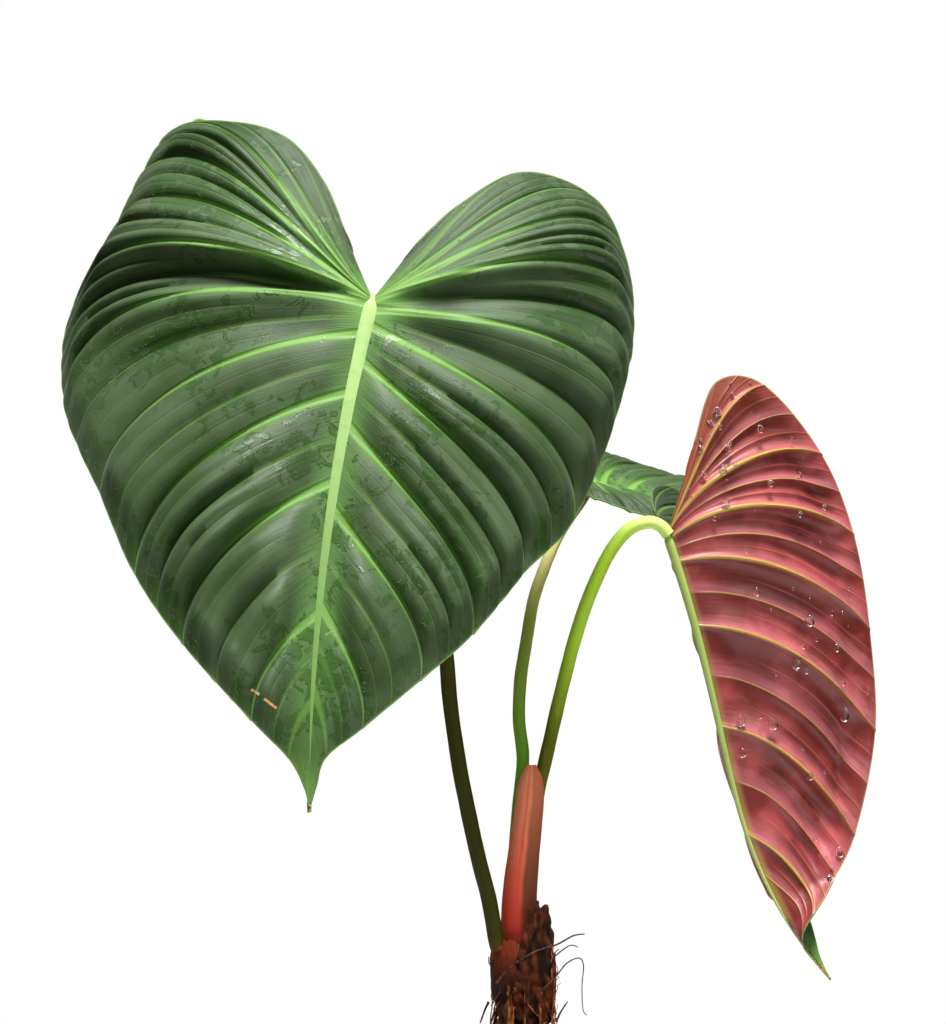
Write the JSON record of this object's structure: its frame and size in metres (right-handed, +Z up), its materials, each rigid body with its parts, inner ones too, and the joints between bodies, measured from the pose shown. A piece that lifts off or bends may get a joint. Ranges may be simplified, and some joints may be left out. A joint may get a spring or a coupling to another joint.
{
  "type": "potted philodendron",
  "caption": "Young philodendron in a clay pot: large heart-shaped green leaf, a folded leaf showing its red underside and a small leaf behind, on stalks from a short sheathed stem.",
  "frame": {"origin": "centre of the pot's flat foot, on the ground", "axes": "+Z up along the pot's axis; -Y towards the front, where the large leaf shows its upper face; +X to the right, where the leaf that shows its red underside hangs"},
  "size_m": [0.33, 0.2449, 0.4971],
  "materials": {
    "clay": "unglazed terracotta, matt, faint chalky bloom",
    "bark_mix": "dark crumbly bark mix, matt",
    "stem_bark": "rough brown stem, matt",
    "dark_stalk": "dark olive brown, satin",
    "green_stalk": "bright green, satin",
    "leaf_green": "velvety dark green with pale green veins, satin where wet",
    "leaf_red_underside": "wine red underside with yellow-green veins, satin",
    "red_sheath": "rosy red to tan, satin",
    "dry_husk": "dry, torn, dark brown, matt",
    "root": "dark thin root or dry fibre, matt",
    "bark_chip": "weathered bark flake, matt"
  },
  "bodies": {
    "root": {"pot": "clay", "potting_mix": "bark_mix", "stem": "stem_bark", "front_stalk": "dark_stalk", "right_stalk": "green_stalk", "back_stalk": "green_stalk", "front_leaf": "leaf_green", "back_leaf": "leaf_green", "right_leaf": "leaf_red_underside", "fresh_sheath": "red_sheath", "left_sheath": "red_sheath", "right_husk": "dry_husk", "root_long": "root", "root_right": "root", "root_left": "root", "root_back": "root", "fibre_curled": "root", "fibre_short": "root", "bark_chip_1": "bark_chip", "bark_chip_2": "bark_chip", "bark_chip_3": "bark_chip", "bark_chip_4": "bark_chip", "bark_chip_5": "bark_chip", "bark_chip_6": "bark_chip", "bark_chip_7": "bark_chip", "bark_chip_8": "bark_chip"}
  },
  "joints": []
}
